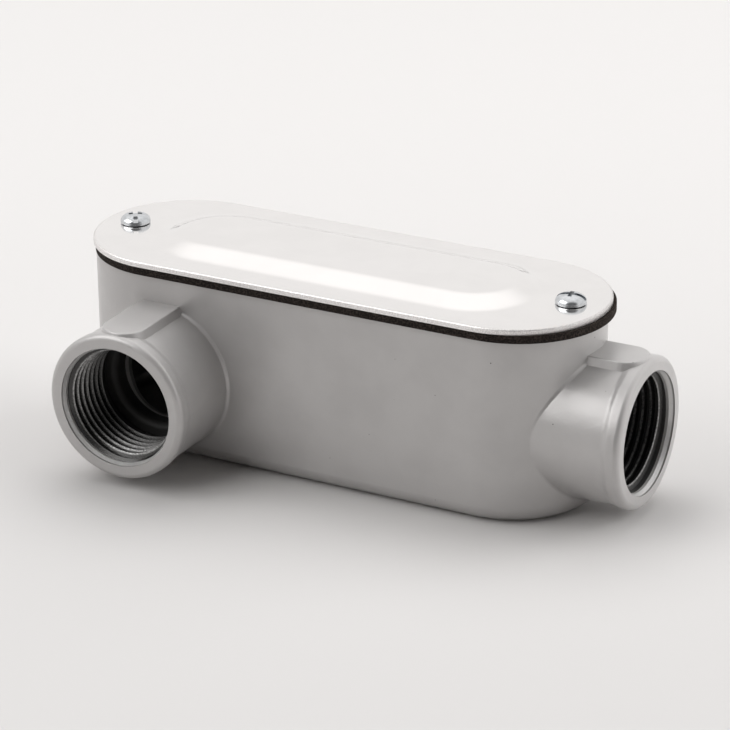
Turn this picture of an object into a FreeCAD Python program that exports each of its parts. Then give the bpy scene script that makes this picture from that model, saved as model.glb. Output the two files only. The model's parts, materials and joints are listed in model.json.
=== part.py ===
import FreeCAD
import Part
import Sketcher
import math
import os

# Threaded conduit body with a side hub and an end hub: a cast housing with its wiring chamber open
# at the top, a foam gasket, a pressed cover and two cover screws. Millimetres, +Z up. The origin is
# on the surface it stands on, under the middle of the housing. The end hub points along +X and the
# side hub along -Y.

doc = FreeCAD.newDocument("conduit_body")
os.makedirs("parts", exist_ok=True)

# Driving dimensions. Every other size in the model is an expression of these cells.
driving = (
    ("hub_radius", 16.85, "outer radius of a hub's collar, the thicker ring round its mouth"),
    ("hub_wall", 3.55, "thickness of the collar over the thread's root"),
    ("collar_length", 3.0, "length of the collar"),
    ("collar_step", 0.45, "how much thinner a hub's barrel is just behind its collar"),
    ("collar_slope", 1.2, "length of the soft step from the collar down to the barrel"),
    ("collar_round", 2.0, "rounding at both ends of that step"),
    ("hub_draft", 0.3, "draft angle of a hub's barrel in degrees, thicker at the housing's wall"),
    ("hub_clearance", 2.15, "height of the hubs' undersides over the surface the housing stands on"),
    ("rim_round", 1.3, "rounding of a hub's outer rim edge"),
    ("hub_blend", 0.8, "rounding where a hub's barrel meets the housing's wall"),
    ("side_hub_length", 20.2, "how far the side hub stands out of the long wall"),
    ("end_hub_length", 12.0, "how far the end hub stands out of the round end"),
    ("side_hub_inset", 5.3, "distance of the side hub's axis from the round end's centre, towards the middle"),
    ("cheek", 3.45, "how much further out the housing's long walls are than the hubs' sides"),
    ("casting_straight", 40.8, "half the straight length of the housing's long walls"),
    ("wall_over_hubs", 6.6, "height of the housing's rim over the tops of the hubs' rims"),
    ("wall_thickness", 3.0, "thickness of the housing's walls"),
    ("floor_thickness", 3.2, "thickness of the housing's floor"),
    ("bottom_round", 3.6, "rounding of the outer edge round the floor"),
    ("chamber_round", 2.5, "rounding inside the chamber, round the floor"),
    ("mouth_step", 0.45, "how much wider a hub's mouth is than its bore"),
    ("mouth_depth", 0.35, "depth of the plain step just inside a hub's mouth"),
    ("lead_in", 0.9, "depth of the chamfer from there to the bore, which leads a conduit in"),
    ("side_throat_length", 6.2, "length of the smooth throat between the side hub's bore and the chamber"),
    ("end_throat_length", 3.2, "length of the smooth throat between the end hub's bore and the chamber"),
    ("throat_step", 2.9, "height of the shoulder between bore and throat that the conduit stops against"),
    ("throat_lip", 1.4, "rounding of the throat's outer edge, which the conduit's end meets"),
    ("throat_flare", 1.0, "rounding of the throat's inner edge, where wires are pulled over it"),
    ("land_half_width", 4.9, "half the width of the flat land on top of a hub"),
    ("land_rise", 0.5, "height of the land over the top of the collar"),
    ("land_margin", 0.05, "distance of the root of the land's round end from the rim's face"),
    ("land_flat", 0.3, "half the length of the straight piece in the middle of the land's round end"),
    ("land_sink", 2.6, "how far the land's root reaches down into the barrel"),
    ("land_slope", 20.0, "slope of the land's sides in degrees"),
    ("land_round", 0.35, "rounding of the land's upper edge"),
    ("screw_inset", 6.9, "distance of each cover screw from the housing's round end"),
    ("boss_wall", 2.77, "thickness of a tapped boss round its hole"),
    ("boss_flat", 0.7, "half the width of the flat on a tapped boss's front"),
    ("boss_floor", 2.4, "depth of the boss under its tapped hole, the drill's point included"),
    ("boss_draft", 3.0, "draft angle of the tapped bosses in degrees"),
    ("tap_spare", 1.0, "hole depth left under the tip of a screw"),
    ("thread_clearance", 0.08, "clearance round a screw in its tapped hole"),
    ("gasket_overhang", 0.9, "how far the gasket stands out over the housing's wall"),
    ("gasket_thickness", 1.75, "thickness of the gasket"),
    ("gasket_band", 5.6, "width of the gasket's band along the long walls"),
    ("gasket_slip", 0.9, "how far the gasket sits off the middle, towards the end hub"),
    ("gasket_land", 5.0, "width of the gasket's band between a screw and its window"),
    ("gasket_hole_clearance", 0.25, "clearance left round a screw in the gasket once it has slipped"),
    ("cover_overhang", 0.9, "how far the cover stands out over the housing's long walls"),
    ("cover_trim", 0.15, "how much shorter the cover's straight sides are at each end"),
    ("cover_slip", 0.25, "how far the cover sits off the middle in its screws' clearance, towards the end hub"),
    ("cover_thickness", 1.25, "thickness of the cover's sheet"),
    ("cover_hole_clearance", 0.1, "clearance left round a screw in the cover once it has slipped"),
    ("cover_edge_round", 0.35, "rounding of the cover's upper edge"),
    ("dome_margin", 6.5, "width of the cover's flat border along its long sides"),
    ("dome_to_head", 4.9, "flat left between a screw's head and the foot of the raised middle"),
    ("dome_rise", 1.9, "height of the raised middle over the rest of the cover"),
    ("dome_slope_run", 5.0, "width of the slope round the raised middle"),
    ("dome_round", 8.0, "rounding at the top and at the foot of that slope"),
    ("shank_radius", 1.75, "radius of a cover screw's shank over its thread"),
    ("shank_length", 10.0, "length of a cover screw under its head"),
    ("tip_taper", 0.6, "bevel at the tip of a cover screw"),
    ("head_overhang", 1.68, "how far a cover screw's head stands out over its shank"),
    ("head_height", 2.35, "height of a cover screw's head"),
    ("head_fall", 0.35, "how much lower the head's top is at its edge than in the middle"),
    ("head_crown", 1.3, "rounding of the head's upper edge"),
    ("recess_margin", 1.68, "solid left between the crossed slots' ends and the head's edge"),
    ("recess_width", 0.95, "width of the crossed slots in the head"),
    ("recess_depth", 1.35, "depth of the crossed slots in the head"),
)

sheet = doc.addObject("Spreadsheet::Sheet", "Sizes")
for row, (alias, value, note) in enumerate(driving, start=1):
    sheet.set("A%d" % row, alias)
    sheet.set("B%d" % row, str(value))
    sheet.set("C%d" % row, note)
    sheet.setAlias("B%d" % row, alias)
doc.recompute()

# Sizes that follow from the driving ones, as expressions of the sheet's cells. The housing is as wide
# and as high as its hubs need, and the gasket, the cover and the screws follow the housing.
hub_height = "(Sizes.hub_radius + Sizes.hub_clearance)"
casting_radius = "(Sizes.hub_radius + Sizes.cheek)"
casting_height = f"({hub_height} + Sizes.hub_radius + Sizes.wall_over_hubs)"
chamber_radius = f"({casting_radius} - Sizes.wall_thickness)"
side_axis = "(Sizes.side_hub_inset - Sizes.casting_straight)"
side_face = f"(-{casting_radius} - Sizes.side_hub_length)"
end_face = f"(Sizes.casting_straight + {casting_radius} + Sizes.end_hub_length)"
bore_radius = "(Sizes.hub_radius - Sizes.hub_wall)"
mouth_radius = f"({bore_radius} + Sizes.mouth_step)"
throat_radius = f"({bore_radius} - Sizes.throat_step)"
screw_reach = f"(Sizes.casting_straight + {casting_radius} - Sizes.screw_inset)"
tap_radius = "(Sizes.shank_radius + Sizes.thread_clearance)"
tap_depth = "(Sizes.shank_length - Sizes.cover_thickness - Sizes.gasket_thickness + Sizes.tap_spare)"
boss_radius = f"({tap_radius} + Sizes.boss_wall)"
gasket_radius = f"({casting_radius} + Sizes.gasket_overhang)"
window_radius = f"({gasket_radius} - Sizes.gasket_band)"
cover_straight = "(Sizes.casting_straight - Sizes.cover_trim)"
cover_radius = f"({casting_radius} + Sizes.cover_overhang)"
cover_hole = "(Sizes.shank_radius + Sizes.cover_slip + Sizes.cover_hole_clearance)"
cover_level = f"({casting_height} + Sizes.gasket_thickness)"
head_radius = "(Sizes.shank_radius + Sizes.head_overhang)"
dome_radius = f"({cover_radius} - Sizes.dome_margin)"
dome_straight = f"({screw_reach} - {head_radius} - Sizes.dome_to_head - {dome_radius})"
ENDS = (("left", "-"), ("right", ""))


def number(expression):
    """The value of an expression of the sheet's cells."""
    return float(sheet.evalExpression(expression))


def new_body(name):
    """An empty solid of its own, named as a person would name the piece."""
    body = doc.addObject("PartDesign::Body", name)
    body.Label = name
    return body


def new_sketch(body, name, plane, lift="0"):
    """A sketch on one of the body's own origin planes, raised along the plane's normal."""
    sketch = body.newObject("Sketcher::SketchObject", name)
    faces = [face for face in body.Origin.OriginFeatures if face.Role == plane]
    sketch.AttachmentSupport = [(faces[0], "")]
    sketch.MapMode = "FlatFace"
    if lift != "0":
        sketch.AttachmentOffset = FreeCAD.Placement(FreeCAD.Vector(0, 0, number(lift)), FreeCAD.Rotation())
        sketch.setExpression("AttachmentOffset.Base.z", lift)
    return sketch


def bind(sketch, kind, targets, label, expression):
    """One dimension of a sketch, held by an expression of the sheet's cells."""
    index = sketch.addConstraint(Sketcher.Constraint(kind, *targets, number(expression)))
    sketch.renameConstraint(index, label)
    sketch.setExpression("Constraints." + label, expression)


def pin_point(sketch, shape, end, label, across, along):
    """Hold a point of a sketch by its distances from the sketch's origin."""
    for kind, axis, side, expression in (("DistanceX", -2, "across", across), ("DistanceY", -1, "along", along)):
        if expression == "0":
            sketch.addConstraint(Sketcher.Constraint("PointOnObject", shape, end, axis))
        else:
            bind(sketch, kind, (-1, 1, shape, end), label + "_" + side, expression)


def draw_stadium(sketch, label, straight, radius):
    """A closed outline of two straight sides and two half circles, centred on the origin."""
    run = number(straight)
    bend = number(radius)
    right = FreeCAD.Vector(run, 0, 0)
    left = FreeCAD.Vector(-run, 0, 0)
    out = FreeCAD.Vector(0, bend, 0)
    normal = FreeCAD.Vector(0, 0, 1)
    quarter = math.pi / 2
    near = sketch.addGeometry(Part.LineSegment(left - out, right - out))
    first = sketch.addGeometry(Part.ArcOfCircle(Part.Circle(right, normal, bend), -quarter, quarter))
    far = sketch.addGeometry(Part.LineSegment(right + out, left + out))
    second = sketch.addGeometry(Part.ArcOfCircle(Part.Circle(left, normal, bend), quarter, 3 * quarter))
    for before, end, after, start in ((near, 2, first, 1), (first, 2, far, 1), (far, 2, second, 1),
                                      (second, 2, near, 1)):
        sketch.addConstraint(Sketcher.Constraint("Tangent", before, end, after, start))
    bind(sketch, "Radius", (first,), label + "_radius", radius)
    pin_point(sketch, first, 3, label + "_right", straight, "0")
    pin_point(sketch, second, 3, label + "_left", "-(" + straight + ")", "0")


def draw_circle(sketch, label, radius, across="0", along="0"):
    """A circle at its own place in a sketch."""
    centre = FreeCAD.Vector(number(across), number(along), 0)
    ring = sketch.addGeometry(Part.Circle(centre, FreeCAD.Vector(0, 0, 1), number(radius)))
    bind(sketch, "Radius", (ring,), label + "_radius", radius)
    pin_point(sketch, ring, 3, label, across, along)


def draw_outline(sketch, corners):
    """A closed outline of straight sides. A corner is its two distances and, if it is round, a radius."""
    count = len(corners)
    places = [FreeCAD.Vector(number(corner[0]), number(corner[1]), 0) for corner in corners]
    arrive = []
    leave = []
    for index, place in enumerate(places):
        back = (places[index - 1] - place).normalize()
        onward = (places[(index + 1) % count] - place).normalize()
        trim = 0.0
        if len(corners[index]) == 3:
            trim = number(corners[index][2]) / math.tan(back.getAngle(onward) / 2)
        arrive.append(place + back * trim)
        leave.append(place + onward * trim)
    sides = [sketch.addGeometry(Part.LineSegment(leave[index], arrive[(index + 1) % count]))
             for index in range(count)]
    for index, corner in enumerate(corners):
        label = "corner_%d" % index
        before = sides[index - 1]
        after = sides[index]
        if len(corner) == 2:
            sketch.addConstraint(Sketcher.Constraint("Coincident", before, 2, after, 1))
            pin_point(sketch, after, 1, label, corner[0], corner[1])
            continue
        round_corner(sketch, label, corner, places[index], (before, arrive[index]), (after, leave[index]))


def round_corner(sketch, label, corner, place, arriving, leaving):
    """The arc of a round corner, tangent to the sides before and after it."""
    before, touch = arriving
    after, away = leaving
    middle = (touch + away) * 0.5 - place
    reach = middle.Length + number(corner[2]) ** 2 / (touch - place).Length ** 2 * middle.Length
    centre = place + middle * (reach / middle.Length)
    left_turn = (touch - centre).cross(away - centre).z > 0
    ends = (touch, away) if left_turn else (away, touch)
    angles = [math.atan2((end - centre).y, (end - centre).x) for end in ends]
    circle = Part.Circle(centre, FreeCAD.Vector(0, 0, 1), number(corner[2]))
    arc = sketch.addGeometry(Part.ArcOfCircle(circle, *angles))
    sketch.addConstraint(Sketcher.Constraint("Tangent", before, 2, arc, 1 if left_turn else 2))
    sketch.addConstraint(Sketcher.Constraint("Tangent", after, 1, arc, 2 if left_turn else 1))
    bind(sketch, "Radius", (arc,), label + "_round", corner[2])
    tip = sketch.addGeometry(Part.Point(place), True)
    pin_point(sketch, tip, 1, label, corner[0], corner[1])
    sketch.addConstraint(Sketcher.Constraint("PointOnObject", tip, 1, before))
    sketch.addConstraint(Sketcher.Constraint("PointOnObject", tip, 1, after))


def raise_pad(body, name, sketch, length, down=False, draft=None):
    """Material from a sketch, upwards or downwards, with drafted sides where the piece has them."""
    pad = body.newObject("PartDesign::Pad", name)
    pad.Profile = sketch
    pad.setExpression("Length", length)
    pad.Reversed = down
    if draft:
        pad.setExpression("TaperAngle", draft)
    doc.recompute()
    return pad


def sink_pocket(body, name, sketch, length):
    """A pocket straight down from a sketch."""
    pocket = body.newObject("PartDesign::Pocket", name)
    pocket.Profile = sketch
    pocket.setExpression("Length", length)
    doc.recompute()
    return pocket


def turn(body, name, kind, sketch):
    """A full turn about the sketch's own construction line, adding or cutting."""
    feature = body.newObject("PartDesign::" + kind, name)
    feature.Profile = sketch
    feature.ReferenceAxis = (sketch, ["Axis0"])
    feature.Angle = 360
    doc.recompute()
    return feature


def round_edges(body, name, radius, wanted):
    """Round the edges of the body's last shape that a test picks."""
    base = body.Tip
    names = ["Edge%d" % (index + 1) for index, edge in enumerate(base.Shape.Edges) if wanted(edge)]
    fillet = body.newObject("PartDesign::Fillet", name)
    fillet.Base = (base, names)
    fillet.setExpression("Radius", radius)
    doc.recompute()
    return fillet


def near(one, other):
    """Whether two lengths are the same for picking an edge."""
    return abs(one - other) < 0.02


def add_axis(sketch, across, along, side):
    """The construction line that a section is turned about, along X or along Y."""
    start = FreeCAD.Vector(number(across), number(along), 0)
    step = FreeCAD.Vector(1, 0, 0) if side == "X" else FreeCAD.Vector(0, 1, 0)
    line = sketch.addGeometry(Part.LineSegment(start, start + step), True)
    pin_point(sketch, line, 1, "axis_start", across, along)
    sketch.addConstraint(Sketcher.Constraint("Horizontal" if side == "X" else "Vertical", line))
    sketch.addConstraint(Sketcher.Constraint("Distance", line, 1.0))


def surfaces_at(shape, edge):
    """The kinds of the two faces that meet at an edge."""
    return sorted(type(face.Surface).__name__ for face in shape.ancestorsOfType(edge, Part.Face))


# The housing: one die casting. A solid block of the outer shape comes first, then the hubs' barrels
# with their flat lands, the wiring chamber, the tapped bosses and the bores.
casting = new_body("casting")
block_outline = new_sketch(casting, "block_outline", "XY_Plane")
draw_stadium(block_outline, "block", "Sizes.casting_straight", casting_radius)
raise_pad(casting, "block", block_outline, casting_height)
round_edges(casting, "block_bottom", "Sizes.bottom_round", lambda edge: near(edge.BoundBox.ZMax, 0))

# The barrels' half sections, from the axis outwards. Each is drafted, thicker towards the wall, and
# runs on inside the block past its wall. The chamber later clears what is inside.
side_inner = f"(-{casting_radius} / 2)"
end_inner = "Sizes.casting_straight"
step_end = "(Sizes.collar_length + Sizes.collar_slope)"


def drafted(length):
    """A barrel's outer radius a given length behind the rim's face."""
    return f"(Sizes.hub_radius - Sizes.collar_step + ({length}) * tan(Sizes.hub_draft * 1 deg))"


side_barrel_section = new_sketch(casting, "side_barrel_section", "XY_Plane", hub_height)
draw_outline(side_barrel_section, (
    (side_axis, side_face),
    (f"{side_axis} + Sizes.hub_radius", side_face, "Sizes.rim_round"),
    (f"{side_axis} + Sizes.hub_radius", f"{side_face} + Sizes.collar_length", "Sizes.collar_round"),
    (f"{side_axis} + {drafted(step_end)}", f"{side_face} + {step_end}", "Sizes.collar_round"),
    (f"{side_axis} + {drafted(side_inner + ' - ' + side_face)}", side_inner),
    (side_axis, side_inner),
))
add_axis(side_barrel_section, side_axis, "0", "Y")
turn(casting, "side_barrel", "Revolution", side_barrel_section)

end_barrel_section = new_sketch(casting, "end_barrel_section", "XY_Plane", hub_height)
draw_outline(end_barrel_section, (
    (end_face, "0"),
    (end_face, "Sizes.hub_radius", "Sizes.rim_round"),
    (f"{end_face} - Sizes.collar_length", "Sizes.hub_radius", "Sizes.collar_round"),
    (f"{end_face} - {step_end}", drafted(step_end), "Sizes.collar_round"),
    (end_inner, drafted(end_face + " - " + end_inner)),
    (end_inner, "0"),
))
add_axis(end_barrel_section, "0", "0", "X")
turn(casting, "end_barrel", "Revolution", end_barrel_section)

# The flat lands on top of the hubs, one from the side wall and one from the end wall to just behind
# the rim, with sloping sides and round outer corners.
land_top = f"({hub_height} + Sizes.hub_radius + Sizes.land_rise)"
land_setback = "(Sizes.land_margin + Sizes.land_sink * tan(Sizes.land_slope * 1 deg))"
land_corner = "Sizes.land_half_width - Sizes.land_flat"
land_near = f"{side_axis} + Sizes.land_half_width"
land_far = f"{side_axis} - Sizes.land_half_width"
side_land_outline = new_sketch(casting, "side_land_outline", "XY_Plane", land_top)
side_land_end = f"{side_face} + {land_setback}"
draw_outline(side_land_outline, (
    (land_far, f"-{chamber_radius}"),
    (land_far, side_land_end, land_corner),
    (land_near, side_land_end, land_corner),
    (land_near, f"-{chamber_radius}"),
))
raise_pad(casting, "side_land", side_land_outline, "Sizes.land_sink", down=True, draft="Sizes.land_slope")

end_land_outline = new_sketch(casting, "end_land_outline", "XY_Plane", land_top)
end_land_end = f"{end_face} - {land_setback}"
end_land_root = f"Sizes.casting_straight + {chamber_radius}"
draw_outline(end_land_outline, (
    (end_land_root, "-Sizes.land_half_width"),
    (end_land_end, "-Sizes.land_half_width", land_corner),
    (end_land_end, "Sizes.land_half_width", land_corner),
    (end_land_root, "Sizes.land_half_width"),
))
raise_pad(casting, "end_land", end_land_outline, "Sizes.land_sink", down=True, draft="Sizes.land_slope")


def barrel_meets_wall(edge):
    """Whether an edge is where a barrel's drafted side runs into the housing's wall or bottom edge."""
    kinds = surfaces_at(casting.Tip.Shape, edge)
    on_wall = edge.BoundBox.YMin > number(f"-{casting_radius} - Sizes.hub_blend / 10")
    on_wall = on_wall and edge.BoundBox.XMax < number(f"Sizes.casting_straight + {casting_radius} + Sizes.hub_blend / 10")
    return len(kinds) == 2 and kinds.count("Cone") == 1 and on_wall


round_edges(casting, "hub_blends", "Sizes.hub_blend", barrel_meets_wall)


def is_land_edge(edge):
    """Whether an edge is part of a land's upper outline, apart from its end at the wall."""
    box = edge.BoundBox
    off_walls = box.YMin < number(f"-{casting_radius} - Sizes.land_round")
    off_walls = off_walls or box.XMax > number(f"Sizes.casting_straight + {casting_radius} + Sizes.land_round")
    level = number(land_top)
    return near(box.ZMin, level) and near(box.ZMax, level) and off_walls


round_edges(casting, "land_rounds", "Sizes.land_round", is_land_edge)

# The wiring chamber, open at the top, with a rounded floor.
chamber_outline = new_sketch(casting, "chamber_outline", "XY_Plane", casting_height)
draw_stadium(chamber_outline, "chamber", "Sizes.casting_straight", chamber_radius)
sink_pocket(casting, "chamber", chamber_outline, f"{casting_height} - Sizes.floor_thickness")


def is_chamber_floor_edge(edge):
    """Whether an edge runs round the chamber's floor."""
    level = number("Sizes.floor_thickness")
    return near(edge.BoundBox.ZMin, level) and near(edge.BoundBox.ZMax, level)


round_edges(casting, "chamber_floor", "Sizes.chamber_round", is_chamber_floor_edge)

# The tapped bosses: one at each end of the chamber, cast onto the end wall.
for side, sign in ENDS:
    boss_outline = new_sketch(casting, f"{side}_boss_outline", "XY_Plane", casting_height)
    boss_wall_inside = f"{sign}({end_land_root} + Sizes.wall_thickness / 2)"
    boss_front = f"{sign}({screw_reach} - {boss_radius})"
    draw_outline(boss_outline, (
        (boss_front, f"-{boss_radius}", f"{boss_radius} - Sizes.boss_flat"),
        (boss_front, boss_radius, f"{boss_radius} - Sizes.boss_flat"),
        (boss_wall_inside, boss_radius),
        (boss_wall_inside, f"-{boss_radius}"),
    ))
    raise_pad(casting, f"{side}_boss", boss_outline, f"{tap_depth} + Sizes.boss_floor", down=True,
              draft="-Sizes.boss_draft")


# The bores: a plain lead-in at the mouth, the threaded length, then the narrower throat with a
# rounded lip, which runs on into the chamber.
def bore_corners(face, depth, inner, inwards):
    """Corners of a bore's half section, as distances from its axis and places along it."""
    chamfer = "(Sizes.mouth_depth + Sizes.lead_in)"
    return (
        ("0", f"{face} {inwards} (-Sizes.mouth_depth)"),
        (mouth_radius, f"{face} {inwards} (-Sizes.mouth_depth)"),
        (mouth_radius, f"{face} {inwards} Sizes.mouth_depth"),
        (bore_radius, f"{face} {inwards} {chamfer}"),
        (bore_radius, f"{face} {inwards} {depth}"),
        (throat_radius, f"{face} {inwards} {depth}", "Sizes.throat_lip"),
        (throat_radius, inner),
        ("0", inner),
    )


side_depth = "(Sizes.side_hub_length + Sizes.wall_thickness - Sizes.side_throat_length)"
side_bore_section = new_sketch(casting, "side_bore_section", "XY_Plane", hub_height)
draw_outline(side_bore_section, [
    (f"{side_axis} + {corner[0]}",) + corner[1:]
    for corner in bore_corners(side_face, side_depth, side_inner, "+")
])
add_axis(side_bore_section, side_axis, "0", "Y")
turn(casting, "side_bore", "Groove", side_bore_section)

end_depth = "(Sizes.end_hub_length + Sizes.wall_thickness - Sizes.end_throat_length)"
end_bore_section = new_sketch(casting, "end_bore_section", "XY_Plane", hub_height)
draw_outline(end_bore_section, [
    (corner[1], corner[0]) + corner[2:]
    for corner in bore_corners(end_face, end_depth, end_inner, "-")
])
add_axis(end_bore_section, "0", "0", "X")
turn(casting, "end_bore", "Groove", end_bore_section)


def throat_meets_chamber(edge):
    """Whether an edge is where a throat opens into the chamber's wall."""
    faces = casting.Tip.Shape.ancestorsOfType(edge, Part.Face)
    radii = [face.Surface.Radius for face in faces if type(face.Surface).__name__ == "Cylinder"]
    inside = edge.BoundBox.XMax < number(f"{end_land_root} + Sizes.wall_thickness / 4")
    inside = inside and edge.BoundBox.YMin > number(f"-{chamber_radius} - Sizes.wall_thickness / 4")
    return len(faces) == 2 and any(near(radius, number(throat_radius)) for radius in radii) and inside


round_edges(casting, "throat_flares", "Sizes.throat_flare", throat_meets_chamber)

# The tapped holes in the bosses, blind, with a drill's point.
tap_places = new_sketch(casting, "tap_places", "XY_Plane", casting_height)
for side, sign in ENDS:
    draw_circle(tap_places, f"{side}_tap", tap_radius, sign + screw_reach)
doc.recompute()
taps = casting.newObject("PartDesign::Hole", "taps")
taps.Profile = tap_places
taps.DepthType = "Dimension"
taps.DrillPoint = "Angled"
taps.DrillPointAngle = 118
taps.setExpression("Diameter", "2 * " + tap_radius)
taps.setExpression("Depth", tap_depth)
doc.recompute()

# The gasket: die-cut foam, a band round the rim with a punched hole for each screw. It lies on the
# rim and has slipped a little towards the end hub.
gasket = new_body("gasket")
gasket.setExpression("Placement.Base.x", "Sizes.gasket_slip")
gasket.setExpression("Placement.Base.z", casting_height)
gasket_outline = new_sketch(gasket, "gasket_outline", "XY_Plane")
draw_stadium(gasket_outline, "outer", "Sizes.casting_straight", gasket_radius)
draw_stadium(gasket_outline, "window", f"{screw_reach} - Sizes.gasket_land - {window_radius}", window_radius)
for side, sign in ENDS:
    draw_circle(gasket_outline, f"{side}_hole",
                "Sizes.shank_radius + Sizes.gasket_slip + Sizes.gasket_hole_clearance", sign + screw_reach)
raise_pad(gasket, "gasket_band", gasket_outline, "Sizes.gasket_thickness")

# The cover: pressed sheet with a raised middle that is hollow underneath, and a hole at each end.
cover = new_body("cover")
cover.setExpression("Placement.Base.x", "Sizes.cover_slip")
cover.setExpression("Placement.Base.z", cover_level)
cover_outline = new_sketch(cover, "cover_outline", "XY_Plane")
draw_stadium(cover_outline, "cover", cover_straight, cover_radius)
for side, sign in ENDS:
    draw_circle(cover_outline, f"{side}_hole", cover_hole, sign + screw_reach)
raise_pad(cover, "sheet", cover_outline, "Sizes.cover_thickness")


def loft_dome(name, kind, level):
    """The raised middle's form, added on top of the sheet or cut from under it."""
    foot = new_sketch(cover, name + "_foot", "XY_Plane", level)
    draw_stadium(foot, "foot", dome_straight, dome_radius)
    crest = new_sketch(cover, name + "_crest", "XY_Plane", level + " + Sizes.dome_rise")
    draw_stadium(crest, "crest", dome_straight, dome_radius + " - Sizes.dome_slope_run")
    loft = cover.newObject("PartDesign::" + kind, name)
    loft.Profile = foot
    loft.Sections = [crest]
    doc.recompute()


loft_dome("dome", "AdditiveLoft", "Sizes.cover_thickness")
loft_dome("dome_hollow", "SubtractiveLoft", "0")


def is_dome_edge(edge):
    """Whether an edge runs round the raised middle, at its crest or at its foot, above or below."""
    box = edge.BoundBox
    breadth = max(abs(box.YMin), abs(box.YMax))
    within = breadth < number(f"({dome_radius} + {cover_radius}) / 2")
    at_hole = near(box.YLength, number("2 * " + cover_hole))
    return near(box.ZMin, box.ZMax) and within and not at_hole


round_edges(cover, "dome_rounds", "Sizes.dome_round", is_dome_edge)


def is_cover_rim(edge):
    """Whether an edge is on the upper outline of the sheet."""
    box = edge.BoundBox
    level = number("Sizes.cover_thickness")
    outer = near(max(abs(box.YMin), abs(box.YMax)), number(cover_radius))
    return near(box.ZMin, level) and near(box.ZMax, level) and outer


round_edges(cover, "cover_rim", "Sizes.cover_edge_round", is_cover_rim)


def cross_corners(reach, half):
    """The twelve corners of a cross, arm after arm."""
    arms = (("", ""), ("-", ""), ("-", "-"), ("", "-"))
    corners = []
    for index, (across, along) in enumerate(arms):
        quadrant = [(across + reach, along + half), (across + half, along + half), (across + half, along + reach)]
        corners += quadrant if index % 2 == 0 else quadrant[::-1]
    return corners


# The cover screws: cold-headed and thread-rolled, with a pan head and a crossed recess. Their heads
# bear on the cover, and their shanks pass the cover and the gasket into the tapped bosses.
screws = []
for side, sign in ENDS:
    screw = new_body("screw_" + side)
    screw.setExpression("Placement.Base.x", sign + screw_reach)
    screw.setExpression("Placement.Base.z", cover_level + " + Sizes.cover_thickness")
    half_section = new_sketch(screw, side + "_screw_section", "XZ_Plane")
    draw_outline(half_section, (
        ("0", "-Sizes.shank_length"),
        ("Sizes.shank_radius - Sizes.tip_taper", "-Sizes.shank_length"),
        ("Sizes.shank_radius", "-Sizes.shank_length + Sizes.tip_taper"),
        ("Sizes.shank_radius", "0"),
        (head_radius, "0"),
        (head_radius, "Sizes.head_height - Sizes.head_fall", "Sizes.head_crown"),
        ("0", "Sizes.head_height"),
    ))
    add_axis(half_section, "0", "0", "Y")
    turn(screw, side + "_screw_blank", "Revolution", half_section)
    cross = new_sketch(screw, side + "_cross", "XY_Plane", "Sizes.head_height")
    draw_outline(cross, cross_corners(f"({head_radius} - Sizes.recess_margin)", "(Sizes.recess_width / 2)"))
    sink_pocket(screw, side + "_recess", cross, "Sizes.recess_depth")
    screws.append(screw)

# Every feature has to be sound before a file is written.
for item in doc.Objects:
    if "Invalid" in item.State or "Error" in item.State:
        raise RuntimeError(f"{item.Label} failed: {item.State}")
pieces = [casting, gasket, cover] + screws
for piece in pieces:
    if piece.Shape.isNull() or not piece.Shape.isValid() or len(piece.Shape.Solids) != 1:
        raise RuntimeError(piece.Label + " is not one sound solid")
for piece in pieces:
    piece.Shape.exportStep(f"parts/{piece.Label}.step")
    print(f"{piece.Label} {piece.Shape.Volume:.1f} mm3")
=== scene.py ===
import json
import math

import bmesh
import bpy
from mathutils import Matrix, Vector


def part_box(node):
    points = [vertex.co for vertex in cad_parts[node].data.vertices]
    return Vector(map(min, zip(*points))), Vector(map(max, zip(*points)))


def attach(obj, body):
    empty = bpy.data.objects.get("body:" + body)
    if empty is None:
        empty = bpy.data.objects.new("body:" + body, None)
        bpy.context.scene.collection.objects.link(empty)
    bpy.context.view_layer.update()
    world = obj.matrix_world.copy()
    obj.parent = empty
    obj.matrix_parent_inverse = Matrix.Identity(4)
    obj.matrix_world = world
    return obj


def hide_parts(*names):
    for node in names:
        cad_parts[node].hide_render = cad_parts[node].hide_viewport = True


# The looks of a cast conduit body with two threaded hubs, a foam gasket and a screwed, domed cover.
# Metres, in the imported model's frame: +Z up, the end hub along +X, the side hub along -Y.

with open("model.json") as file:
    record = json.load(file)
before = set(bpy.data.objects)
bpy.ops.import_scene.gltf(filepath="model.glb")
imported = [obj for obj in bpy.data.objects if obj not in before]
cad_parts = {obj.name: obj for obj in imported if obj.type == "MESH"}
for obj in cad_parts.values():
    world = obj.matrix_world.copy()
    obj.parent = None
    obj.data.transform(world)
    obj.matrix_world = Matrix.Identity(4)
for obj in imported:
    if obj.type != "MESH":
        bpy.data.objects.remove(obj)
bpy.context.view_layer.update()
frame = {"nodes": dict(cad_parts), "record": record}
nodes = frame["nodes"]

# Camera and studio
# The fitting stands on a white sweep and is seen from over its front right corner with a long lens.
# A tent of white cloth closes the set behind and above, and it is open and dark on the camera's side.
scene = bpy.context.scene
scene.view_settings.view_transform = "Standard"
CAMERA_PLACE = Vector((0.3103, -0.5691, 0.2955))
CAMERA_YAW = 0.493
CAMERA_PITCH = -0.401
CAMERA_ROLL = -0.008
LENS_MM = 156.1


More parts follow.
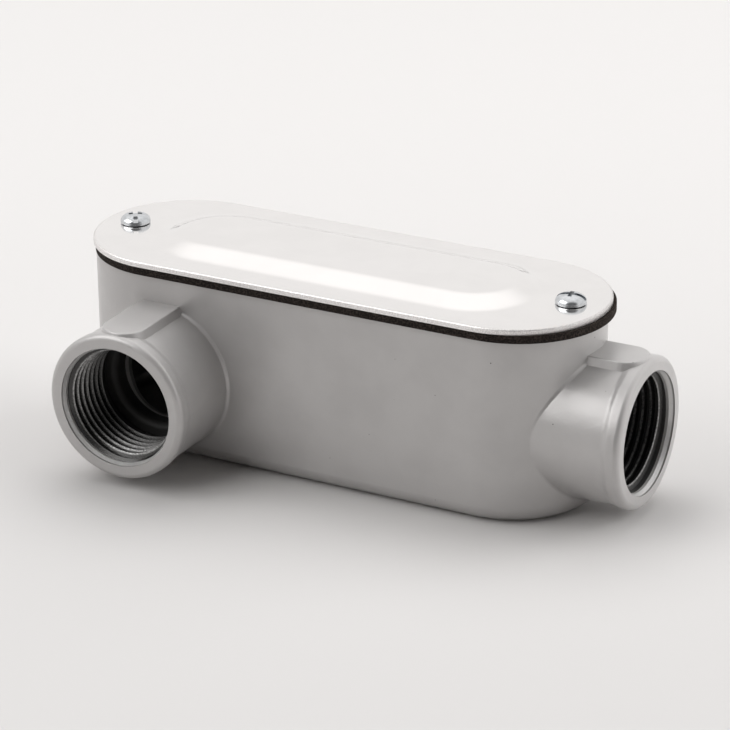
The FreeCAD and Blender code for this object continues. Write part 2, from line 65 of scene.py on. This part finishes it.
def aim_camera():
    """The camera, turned by its yaw from +Y, its pitch from level and its roll."""
    forward = Vector((-math.sin(CAMERA_YAW) * math.cos(CAMERA_PITCH),
                      math.cos(CAMERA_YAW) * math.cos(CAMERA_PITCH),
                      math.sin(CAMERA_PITCH)))
    level = forward.cross(Vector((0, 0, 1))).normalized()
    upright = level.cross(forward)
    across = level * math.cos(CAMERA_ROLL) + upright * math.sin(CAMERA_ROLL)
    up = upright * math.cos(CAMERA_ROLL) - level * math.sin(CAMERA_ROLL)
    turn = Matrix((across, up, -forward)).transposed().to_4x4()
    lens = bpy.data.cameras.new("camera")
    lens.lens = LENS_MM
    lens.sensor_width = 36
    camera = bpy.data.objects.new("camera", lens)
    camera.matrix_world = Matrix.Translation(CAMERA_PLACE) @ turn
    scene.collection.objects.link(camera)
    scene.camera = camera


aim_camera()


class Term:
    """The output of a node in a finish, written in plain sums: an operator adds its Math node."""

    def __init__(self, finish, socket):
        self.finish = finish
        self.socket = socket

    def __add__(self, other):
        return self.finish.sum("ADD", self, other)

    __radd__ = __add__

    def __sub__(self, other):
        return self.finish.sum("SUBTRACT", self, other)

    def __rsub__(self, other):
        return self.finish.sum("SUBTRACT", other, self)

    def __mul__(self, other):
        return self.finish.sum("MULTIPLY", self, other)

    __rmul__ = __mul__

    def __lt__(self, other):
        return self.finish.sum("LESS_THAN", self, other)

    def __gt__(self, other):
        return self.finish.sum("GREATER_THAN", self, other)


class Finish:
    """A surface finish of the fitting, or the light of the tent, filled node by node."""

    def __init__(self, owner, shader):
        owner.use_nodes = True
        self.owner = owner
        self.tree = owner.node_tree
        self.shader = self.tree.nodes[shader]

    def node(self, kind, output, settings, sockets):
        """One node of a type, with its settings and its sockets' values or links, as one of its outputs."""
        made = self.tree.nodes.new(kind)
        for name, value in settings.items():
            setattr(made, name, value)
        for name, value in sockets.items():
            if isinstance(value, Term):
                self.tree.links.new(value.socket, made.inputs[name])
            else:
                made.inputs[name].default_value = value
        return Term(self, made.outputs[output])

    def sum(self, operation, first, second=0.0):
        """The Math node of an operation."""
        return self.node("ShaderNodeMath", "Value", {"operation": operation}, {0: first, 1: second})

    def place(self, stretch=(1, 1, 1)):
        """A point of the surface in metres, with the pattern's size along each axis stretched."""
        point = self.node("ShaderNodeTexCoord", "Object", {}, {})
        return self.node("ShaderNodeMapping", "Vector", {"vector_type": "TEXTURE"},
                         {"Vector": point, "Scale": stretch})

    def reach(self, point, way):
        """How far a point or a direction lies along a way."""
        return self.node("ShaderNodeVectorMath", "Value", {"operation": "DOT_PRODUCT"}, {0: point, 1: way})

    def rays(self, kind):
        """1 for rays of a kind, and 0 for all others."""
        return self.node("ShaderNodeLightPath", kind, {}, {})

    def along(self, point, axis):
        """One coordinate of a point."""
        return self.node("ShaderNodeSeparateXYZ", axis, {}, {"Vector": point})

    def noise(self, grain, detail=2.0, stretch=(1, 1, 1)):
        """Cloudy variation about 0.5, its grain in metres."""
        return self.node("ShaderNodeTexNoise", "Fac", {},
                         {"Vector": self.place(stretch), "Scale": 1 / grain, "Detail": detail,
                          "Roughness": 0.55})

    def band(self, value, low, high, low_to=0.0, high_to=1.0):
        """A value taken softly from one range to another and held at its ends."""
        return self.node("ShaderNodeMapRange", "Result", {"interpolation_type": "SMOOTHSTEP"},
                         {"Value": value, "From Min": low, "From Max": high,
                          "To Min": low_to, "To Max": high_to})

    def blend(self, share, first, second):
        """One colour passing into another."""
        return self.node("ShaderNodeMix", 2, {"data_type": "RGBA"},
                         {"Factor": share, 6: first, 7: second})

    def relief(self, height, depth):
        """A height from 0 to 1 as a bump of a given depth in metres."""
        bump = self.node("ShaderNodeBump", "Normal", {},
                         {"Height": height, "Distance": depth, "Strength": 1.0})
        self.set(Normal=bump)

    def set(self, **sockets):
        """Values or links of the shader's own sockets, their names' spaces as underscores."""
        for name, value in sockets.items():
            socket = self.shader.inputs[name.replace("_", " ")]
            if isinstance(value, Term):
                self.tree.links.new(value.socket, socket)
            else:
                socket.default_value = value

    def pass_into(self, other, share):
        """Let another shader take over from the finish's own, by a share from 0 to 1."""
        own = Term(self, self.shader.outputs[0])
        both = self.node("ShaderNodeMixShader", "Shader", {}, {0: share, 1: own, 2: other})
        self.tree.links.new(both.socket, self.tree.nodes["Material Output"].inputs["Surface"])

    def dress(self, piece):
        """Give the finish to a piece as its only material."""
        piece.data.materials.clear()
        piece.data.materials.append(self.owner)


def finish(name):
    """A new finish for the fitting's pieces."""
    return Finish(bpy.data.materials.new(name), "Principled BSDF")


def softbox(name, place, width, height, power, mirrored=True):
    """A large lamp behind cloth that faces the fitting, and whether polished surfaces mirror it."""
    lamp = bpy.data.lights.new(name, "AREA")
    lamp.shape = "RECTANGLE"
    lamp.size = width
    lamp.size_y = height
    lamp.energy = power
    box = bpy.data.objects.new(name, lamp)
    aim = (Vector((0, 0, 0.02)) - Vector(place)).to_track_quat("-Z", "Y")
    box.matrix_world = Matrix.Translation(place) @ aim.to_matrix().to_4x4()
    box.visible_glossy = mirrored
    scene.collection.objects.link(box)


CLOTH_TINT = (1.0, 0.985, 0.975, 1)
TENT_LIGHT = 0.18
TENT_SEEN = 0.90
BACKGROUND = 0.91
ROOF = (-0.25, 0.35, 0.90)
ROOF_SEEN = 0.22
OPEN_SIDE = (0.436, -0.80, 0.408)
OPEN_SEEN = 0.19
OPEN_LIGHT = 0.15
world = bpy.data.worlds.new("tent")
scene.world = world
tent = Finish(world, "Background")
camera_rays = tent.rays("Is Camera Ray")
mirror_rays = tent.rays("Is Glossy Ray") + tent.rays("Is Transmission Ray")
towards = tent.node("ShaderNodeTexCoord", "Generated", {}, {})
opening = tent.reach(towards, OPEN_SIDE)
cloth = tent.band(tent.reach(towards, ROOF), 0.80, 0.97) * ROOF_SEEN + TENT_SEEN
mirrored = mirror_rays * tent.band(opening, 0.60, 0.92, 1.0, OPEN_SEEN) * cloth
lit = (1 - mirror_rays - camera_rays) * tent.band(opening, 0.0, 0.90, 1.0, OPEN_LIGHT) * TENT_LIGHT
tent.set(Color=CLOTH_TINT, Strength=mirrored + camera_rays * BACKGROUND + lit)
softbox("top_softbox", (-0.30, 0.35, 1.20), 1.4, 1.1, 13, mirrored=False)
softbox("left_softbox", (-0.80, -0.82, 0.95), 1.4, 1.1, 10)
softbox("right_softbox", (1.25, 0.75, 0.60), 1.6, 1.3, 23, mirrored=False)

# The sweep is painted a little paler towards the back, as painted light, and far out, past the lamps'
# light, only the camera sees it pass into the cloth behind.
SWEEP_SIZE = 6
# The step from the near to the far colour is painted light.
SWEEP_NEAR = (0.675, 0.66, 0.651, 1)
SWEEP_FAR = (0.735, 0.719, 0.709, 1)
NEAR_END = -0.15
FAR_END = 0.25
HAZE_START = 0.5
HAZE_FULL = 1.3
bpy.ops.mesh.primitive_plane_add(size=SWEEP_SIZE)
floor = bpy.context.object
floor.name = "floor"
sweep = finish("white_sweep")
away = Vector((-math.sin(CAMERA_YAW), math.cos(CAMERA_YAW), 0))
far = sweep.band(sweep.reach(sweep.place(), away), NEAR_END, FAR_END)
sweep.set(Base_Color=sweep.blend(far, SWEEP_NEAR, SWEEP_FAR), Roughness=0.6, Specular_IOR_Level=0.2)
from_middle = sweep.node("ShaderNodeVectorMath", "Value", {"operation": "LENGTH"}, {0: sweep.place()})
haze = sweep.node("ShaderNodeEmission", "Emission", {}, {"Color": CLOTH_TINT, "Strength": BACKGROUND})
sweep.pass_into(haze, sweep.rays("Is Camera Ray") * sweep.band(from_middle, HAZE_START, HAZE_FULL))
sweep.dress(floor)

# Housing
# One die casting in aluminium, coated with satin grey enamel outside and inside. The hubs' bores are
# cut afterwards, so their walls are bare metal. The lead-in is painted paler than the metal, partly as
# painted light, and the bore wall between the threads dark, as painted shade. The chamber's inside is
# painted a darker grey and the throats near black, as painted shade.
MM = 0.001
casting_low, casting_high = (Vector(corner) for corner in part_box("casting"))
mounts = {mount["name"]: Vector(mount["pos_m"]) for mount in frame["record"]["mounts"]}
MOUTH_STEP = 0.45 * MM
LEAD_IN_DEPTH = 1.9 * MM
BORE_RADIUS = 13.3 * MM
BORE_MARGIN = 0.6 * MM
SIDE_CUT = 16.2 * MM
SIDE_THROAT_END = 21 * MM
END_CUT = 11.2 * MM
END_THROAT_END = 15 * MM
OUTLINE_STRAIGHT = 40.8 * MM
WALL_MIDDLE = 18.8 * MM
FLOOR_MIDDLE = 1.6 * MM
PIT_SPACING = 3.2 * MM
PIT_CHANCE = 0.12

enamel = finish("grey_enamel")
GREY = (0.485, 0.472, 0.466, 1)
GREY_PALE = (0.515, 0.502, 0.495, 1)
PIT_GREY = (0.12, 0.11, 0.105, 1)
# The chamber's darker grey is painted shade: the enamel is the same grey inside and out.
CHAMBER_PAINTED_SHADE = (0.24, 0.235, 0.23, 1)
# The throats are painted near black, as painted shade.
THROAT_PAINTED_SHADE = (0.03, 0.029, 0.028, 1)
THROAT_DULL = 0.3
# The lead-in's bare metal is painted paler, partly as painted light, and the bore wall between the threads
# is painted dark, as painted shade.
LEAD_IN_METAL_AND_LIGHT = (0.70, 0.69, 0.68, 1)
ROOT_PAINTED_SHADE = (0.07, 0.069, 0.068, 1)
point = enamel.place()
across = enamel.along(point, "X")
depth = enamel.along(point, "Y")
height = enamel.along(point, "Z")
side_axis = mounts["side_hub"]
end_axis = mounts["end_hub"]


def inside_round(first, second, radius):
    """1 within a radius of an axis, from the two distances to it, and 0 outside."""
    return first * first + second * second < radius ** 2


behind_side = depth - casting_low.y
behind_end = casting_high.x - across
side_bore = inside_round(across - side_axis.x, height - side_axis.z, BORE_RADIUS + BORE_MARGIN)
side_bore = side_bore * (behind_side > MOUTH_STEP) * (behind_side < SIDE_THROAT_END)
end_bore = inside_round(depth - end_axis.y, height - end_axis.z, BORE_RADIUS + BORE_MARGIN)
end_bore = end_bore * (behind_end > MOUTH_STEP) * (behind_end < END_THROAT_END)
cut = side_bore * (behind_side < SIDE_CUT) + end_bore * (behind_end < END_CUT)
lead_in = side_bore * (behind_side < LEAD_IN_DEPTH) + end_bore * (behind_end < LEAD_IN_DEPTH)
throat = side_bore + end_bore - cut
past_straight = enamel.sum("MAXIMUM", enamel.sum("ABSOLUTE", across) - OUTLINE_STRAIGHT, 0)
chamber = inside_round(past_straight, depth, WALL_MIDDLE) * (height > FLOOR_MIDDLE)

shade = enamel.blend(enamel.band(enamel.noise(14 * MM, 3.0), 0.35, 0.65), GREY, GREY_PALE)
cells = {"Vector": point, "Scale": 1 / PIT_SPACING}
pit_near = enamel.node("ShaderNodeTexVoronoi", "Distance", {}, cells)
pit_pick = enamel.node("ShaderNodeTexVoronoi", "Color", {}, cells)
pit_chance = enamel.node("ShaderNodeSeparateColor", "Red", {}, {"Color": pit_pick})
pits = enamel.band(pit_near, 0.03, 0.06, 1.0, 0.0) * (pit_chance < PIT_CHANCE)
shade = enamel.blend(pits, shade, PIT_GREY)
# Painted shade: the chamber's inside a darker grey and the throats near black.
shade = enamel.blend(throat, enamel.blend(chamber, shade, CHAMBER_PAINTED_SHADE), THROAT_PAINTED_SHADE)
# Painted light and shade on the bare bore wall: a pale lead-in, dark between the threads.
bare_metal_light_and_shade = enamel.blend(lead_in, ROOT_PAINTED_SHADE, LEAD_IN_METAL_AND_LIGHT)
enamel.set(Base_Color=enamel.blend(cut, shade, bare_metal_light_and_shade), Metallic=(1 - throat) * 0.35,
           Roughness=enamel.band(enamel.noise(5 * MM), 0.3, 0.7, 0.30, 0.38) + throat * THROAT_DULL)
peel = enamel.noise(0.9 * MM, 1.0) * 0.5 + enamel.noise(6 * MM, 1.0) * 0.5
enamel.relief(peel - pits * 0.6, 0.05 * MM)
enamel.dress(nodes["casting"])

# Hub threads
# A tapered pipe thread, fourteen threads to the inch, is tapped in each hub once the casting is
# painted. Its ridge is the casting's own bare metal, and it runs out before the throat. Its crests
# are painted light and its flanks dark, as painted highlight and painted shade, and in the side hub
# the metal is painted darker with depth, as painted shade.
PITCH = 1.814 * MM
TURN_STEPS = 120
ROOT_RADIUS = BORE_RADIUS + 0.12 * MM
CREST_RADIUS = 12.25 * MM
CREST_HALF = 0.09 * MM
CREST_ROUND = 0.1 * MM
ROOT_HALF = 0.72 * MM
THREAD_TAPER = 1 / 32
RUN_OUT_TURNS = 0.4
SIDE_START = 2.0 * MM
SIDE_TURNS = 7.3
END_START = 2.4 * MM
END_TURNS = 4.7
# The crests' bright metal is painted highlight; the deep and the flank colours are painted shade.
CREST_METAL_HIGHLIGHT = (0.62, 0.615, 0.61, 1)
DEEP_PAINTED_SHADE = (0.05, 0.049, 0.048, 1)
FLANK_PAINTED_SHADE = (0.06, 0.059, 0.058, 1)


def add_piece(name, bm, body, coat, crease=35):
    """A finished mesh as a piece that moves with a body, its flat corners kept sharp."""
    bmesh.ops.recalc_face_normals(bm, faces=bm.faces)
    mesh = bpy.data.meshes.new(name)
    bm.to_mesh(mesh)
    bm.free()
    mesh.shade_smooth()
    mesh.set_sharp_from_angle(angle=math.radians(crease))
    piece = bpy.data.objects.new(name, mesh)
    scene.collection.objects.link(piece)
    coat.dress(piece)
    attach(piece, body)
    return piece


def wind_ridge(bm, section, pitch, turns, fade, taper=0.0):
    """A closed section, as radii and places along +Z, wound up along +Z as a right-handed ridge.

    Its first corner is at its root. The ridge rises from the root and sinks back over the fade's
    turns, and its crest leans towards the axis by the taper."""
    profile = [bm.verts.new((radius, 0, along)) for radius, along in section]
    outline = [bm.edges.new(pair) for pair in zip(profile, profile[1:] + profile[:1])]
    root = section[0][0]
    steps = round(turns * TURN_STEPS)
    before = len(bm.verts) - len(profile)
    bmesh.ops.spin(bm, geom=profile + outline, cent=(0, 0, 0), axis=(0, 0, 1), angle=turns * math.tau,
                   dvec=(0, 0, pitch / TURN_STEPS), steps=steps, use_merge=False)
    bm.verts.ensure_lookup_table()
    for index, vert in enumerate(bm.verts[before:]):
        ring = index // len(section)
        full = min(1, ring / (fade * TURN_STEPS), (steps - ring) / (fade * TURN_STEPS))
        radius = vert.co.xy.length
        if abs(radius - root) > 0.01 * MM:
            lean = taper * ring * pitch / TURN_STEPS
            vert.co.xy *= (root + (radius - root - lean) * full) / radius
    bmesh.ops.holes_fill(bm, edges=bm.edges, sides=len(section))


def tap_hub(name, start, turns, place):
    """The ridge of a hub's thread, from a depth behind the painted mouth inwards."""
    bm = bmesh.new()
    section = ((ROOT_RADIUS, start - ROOT_HALF),
               (CREST_RADIUS + CREST_ROUND, start - CREST_HALF - CREST_ROUND / 2),
               (CREST_RADIUS, start - CREST_HALF),
               (CREST_RADIUS, start + CREST_HALF),
               (CREST_RADIUS + CREST_ROUND, start + CREST_HALF + CREST_ROUND / 2),
               (ROOT_RADIUS, start + ROOT_HALF))
    wind_ridge(bm, section, PITCH, turns, RUN_OUT_TURNS, THREAD_TAPER)
    bmesh.ops.transform(bm, matrix=place, verts=bm.verts)
    add_piece(name, bm, "housing", cut_metal)


cut_metal = finish("cut_metal")
point = cut_metal.place()


def from_axis(first, second):
    """Distance from an axis, from the two distances to it."""
    return cut_metal.sum("SQRT", first * first + second * second)


across = cut_metal.along(point, "X")
depth = cut_metal.along(point, "Y")
height = cut_metal.along(point, "Z")
in_side = across < 0
side_reach = from_axis(across - side_axis.x, height - side_axis.z)
end_reach = from_axis(depth - end_axis.y, height - end_axis.z)
crest_reach = side_reach * in_side + end_reach * (1 - in_side) - CREST_RADIUS
# Painted highlight on the crests and painted shade on the flanks.
crest_highlight = cut_metal.band(crest_reach, 0.1 * MM, 0.4 * MM, 1.0, 0.0)
# In the side hub the metal is painted darker with depth from the mouth, as painted shade.
open_light = cut_metal.band(depth - casting_low.y, 2 * MM, 13 * MM, 0.6, 0.06)
mouth_light = open_light * in_side + (1 - in_side) * 0.6
torn = cut_metal.band(cut_metal.noise(0.45 * MM, 3.0), 0.35, 0.65, 0.4, 1.0)
metal = cut_metal.blend(mouth_light * torn, DEEP_PAINTED_SHADE, CREST_METAL_HIGHLIGHT)
cut_metal.set(Base_Color=cut_metal.blend(crest_highlight, FLANK_PAINTED_SHADE, metal), Metallic=0.9,
              Roughness=cut_metal.band(cut_metal.noise(0.12 * MM, 2.0), 0.3, 0.7, 0.22, 0.34))
cut_metal.relief(torn, 0.02 * MM)
side_mouth = Vector((side_axis.x, casting_low.y, side_axis.z))
end_mouth = Vector((casting_high.x, end_axis.y, end_axis.z))
side_turn = Matrix.Rotation(-math.pi / 2, 4, "X")
end_turn = Matrix.Rotation(-math.pi / 2, 4, "Y") @ Matrix.Rotation(-math.pi / 2, 4, "Z")
tap_hub("side_hub_thread", SIDE_START, SIDE_TURNS, Matrix.Translation(side_mouth) @ side_turn)
tap_hub("end_hub_thread", END_START, END_TURNS, Matrix.Translation(end_mouth) @ end_turn)

# Gasket
# Fine-celled black foam, die-cut as a band and laid on the housing's rim. The cover squeezes it a
# little, and its cut edge shows open cells.
CELL_SIZE = 0.35 * MM
CELL_DARK = (0.010, 0.008, 0.007, 1)
CELL_WALL = (0.045, 0.036, 0.031, 1)
foam = finish("black_foam")
cells = {"Vector": foam.place(), "Scale": 1 / CELL_SIZE}
pores = foam.node("ShaderNodeTexVoronoi", "Distance", {}, cells)
foam.set(Base_Color=foam.blend(foam.band(pores, 0.35, 0.75), CELL_DARK, CELL_WALL),
         Roughness=0.95, Specular_IOR_Level=0.15)
foam.relief(pores, 0.12 * MM)
foam.dress(nodes["gasket"])

# Cover
# Bright rolled sheet, pressed with a raised middle. Its mill finish has faint lines along its length
# and soft cloudy patches.
EDGE_WIDTH = 0.4 * MM
EDGE_DULL = 0.35
MILL = (0.905, 0.89, 0.88, 1)
MILL_PALE = (0.93, 0.915, 0.905, 1)
SHEARED = (0.68, 0.66, 0.65, 1)
SHEARED_PALE = (0.90, 0.885, 0.875, 1)
cover_low, cover_high = (Vector(corner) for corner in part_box("cover"))
cover_middle = (cover_low + cover_high) / 2
cover_radius = (cover_high.y - cover_low.y) / 2
cover_straight = (cover_high.x - cover_low.x) / 2 - cover_radius

sheet = finish("bright_sheet")
point = sheet.place()
past_straight = sheet.sum("ABSOLUTE", sheet.along(point, "X") - cover_middle.x) - cover_straight
past_straight = sheet.sum("MAXIMUM", past_straight, 0)
from_middle = sheet.along(point, "Y") - cover_middle.y
edge = past_straight * past_straight + from_middle * from_middle > (cover_radius - EDGE_WIDTH) ** 2
rolled = sheet.noise(0.12 * MM, 3.0, stretch=(40, 1, 1))
patches = sheet.noise(9 * MM, 3.0)
grains = sheet.band(sheet.noise(0.25 * MM, 3.0), 0.35, 0.65)
mill = sheet.blend(sheet.band(patches, 0.3, 0.7), MILL, MILL_PALE)
sheared = sheet.blend(grains, SHEARED, SHEARED_PALE)
smooth = sheet.band(rolled * 0.6 + patches * 0.4, 0.35, 0.65, 0.09, 0.14)
sheet.set(Base_Color=sheet.blend(edge, mill, sheared), Metallic=1.0, Roughness=smooth + edge * EDGE_DULL)
sheet.relief(rolled, 0.0012 * MM)
sheet.dress(nodes["cover"])

# Cover screws
# Small pan heads in bright zinc plate, headed with a crossed recess and a slot through it, with a
# rolled machine thread. One is at each end of the cover, held in its hole by the gasket.
ZINC = (0.58, 0.60, 0.62, 1)
ZINC_PALE = (0.68, 0.70, 0.72, 1)
SHANK_LENGTH = 10.0 * MM
CORE = 1.36 * MM
TIP_LENGTH = 0.5 * MM
TIP_NARROWER = 0.45 * MM
NECK_LENGTH = 0.2 * MM
NECK_WIDER = 0.3 * MM
SCREW_PITCH = 0.79 * MM
CREST = 1.74 * MM
RIDGE_ROOT = CORE - 0.05 * MM
RIDGE_HALF = 0.36 * MM
RIDGE_TOP_HALF = 0.05 * MM
RIDGE_START = 0.6 * MM
RIDGE_SHORTER = 1.4 * MM
RIDGE_FADE = 0.5
HEAD_RADIUS = 3.42 * MM
HEAD_HEIGHT = 2.2 * MM
HEAD_STEPS = 16
HEAD_FULLNESS = 0.82
HEAD_TUCK = 0.28 * MM
SEAT_GAP = 0.005 * MM
AROUND_STEPS = 72
# Each cut into the head: its turn in degrees, its length, width and depth, and how much narrower it
# is at its floor, along it and across it. The last is the slot.
HEAD_CUTS = ((0, 3.7 * MM, 1.0 * MM, 1.7 * MM, (0.45, 0.75)),
             (90, 3.9 * MM, 1.0 * MM, 1.7 * MM, (0.45, 0.75)),
             (0, 7.4 * MM, 1.1 * MM, 1.2 * MM, (1, 1)))
OVER_HEAD = 1.0 * MM

zinc = finish("zinc_plate")
zinc.set(Base_Color=zinc.blend(zinc.band(zinc.noise(0.8 * MM, 2.0), 0.3, 0.7), ZINC, ZINC_PALE),
         Metallic=1.0, Roughness=zinc.band(zinc.noise(0.3 * MM), 0.3, 0.7, 0.12, 0.2))
zinc.relief(zinc.noise(0.5 * MM, 1.0), 0.006 * MM)


def loose_object(name, bm):
    """A mesh as an object that is only used to make another."""
    mesh = bpy.data.meshes.new(name)
    bm.to_mesh(mesh)
    bm.free()
    made = bpy.data.objects.new(name, mesh)
    scene.collection.objects.link(made)
    return made


def recess_cutter():
    """The crossed, tapering recess of the head and the slot across it, as one closed shape to cut with."""
    bm = bmesh.new()
    for turn, length, width, deep, narrow in HEAD_CUTS:
        arm = bmesh.ops.create_cube(bm, size=1)["verts"]
        bmesh.ops.scale(bm, vec=(length, width, deep + OVER_HEAD), verts=arm)
        bmesh.ops.translate(bm, vec=(0, 0, HEAD_HEIGHT + (OVER_HEAD - deep) / 2), verts=arm)
        low = [vert for vert in arm if vert.co.z < HEAD_HEIGHT]
        bmesh.ops.scale(bm, vec=(*narrow, 1), verts=low)
        bmesh.ops.rotate(bm, cent=(0, 0, 0), matrix=Matrix.Rotation(math.radians(turn), 3, "Z"), verts=arm)
    return loose_object("recess_cutter", bm)


def head_screw():
    """A screw's blank with its recess cut, standing on the origin by the underside of its head."""
    bm = bmesh.new()
    side = [(0, -SHANK_LENGTH), (CORE - TIP_NARROWER, -SHANK_LENGTH), (CORE, TIP_LENGTH - SHANK_LENGTH),
            (CORE, -NECK_LENGTH), (CORE + NECK_WIDER, 0), (HEAD_RADIUS - HEAD_TUCK * 3, 0),
            (HEAD_RADIUS - HEAD_TUCK * 0.4, HEAD_TUCK * 0.5)]
    for step in range(HEAD_STEPS):
        rise = step / HEAD_STEPS * math.pi / 2
        side.append((HEAD_RADIUS * math.cos(rise) ** HEAD_FULLNESS,
                     HEAD_TUCK + (HEAD_HEIGHT - HEAD_TUCK) * math.sin(rise) ** HEAD_FULLNESS))
    side.append((0, HEAD_HEIGHT))
    profile = [bm.verts.new((radius, 0, level)) for radius, level in side]
    edges = [bm.edges.new(pair) for pair in zip(profile, profile[1:])]
    bmesh.ops.spin(bm, geom=profile + edges, cent=(0, 0, 0), axis=(0, 0, 1), angle=math.tau,
                   steps=AROUND_STEPS, use_merge=True)
    bmesh.ops.remove_doubles(bm, verts=bm.verts, dist=0.001 * MM)
    bmesh.ops.recalc_face_normals(bm, faces=bm.faces)
    blank = loose_object("screw_blank", bm)
    cutter = recess_cutter()
    recess = blank.modifiers.new("recess", "BOOLEAN")
    recess.object = cutter
    recess.operation = "DIFFERENCE"
    recess.solver = "EXACT"
    recess.use_self = True
    headed = bpy.data.meshes.new_from_object(blank.evaluated_get(bpy.context.evaluated_depsgraph_get()))
    bpy.data.objects.remove(blank)
    bpy.data.objects.remove(cutter)
    return headed


screw_blank = head_screw()


def drive_screw(name, node, body, turned):
    """A cover screw in its place, its slot turned from the cover's length by an angle in degrees."""
    low, high = (Vector(corner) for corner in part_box(node))
    bm = bmesh.new()
    bm.from_mesh(screw_blank)
    start = RIDGE_START - SHANK_LENGTH
    section = ((RIDGE_ROOT, start - RIDGE_HALF), (CREST, start - RIDGE_TOP_HALF),
               (CREST, start + RIDGE_TOP_HALF), (RIDGE_ROOT, start + RIDGE_HALF))
    wind_ridge(bm, section, SCREW_PITCH, (SHANK_LENGTH - RIDGE_SHORTER) / SCREW_PITCH, RIDGE_FADE)
    seat = Vector(((low.x + high.x) / 2, (low.y + high.y) / 2, low.z + SHANK_LENGTH + SEAT_GAP))
    place = Matrix.Translation(seat) @ Matrix.Rotation(math.radians(turned), 4, "Z")
    bmesh.ops.transform(bm, matrix=place, verts=bm.verts)
    screw = add_piece(name, bm, body, zinc)
    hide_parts(node)


drive_screw("left_cover_screw", "screw_left", "left_screw", 123)
drive_screw("right_cover_screw", "screw_right", "right_screw", 10)
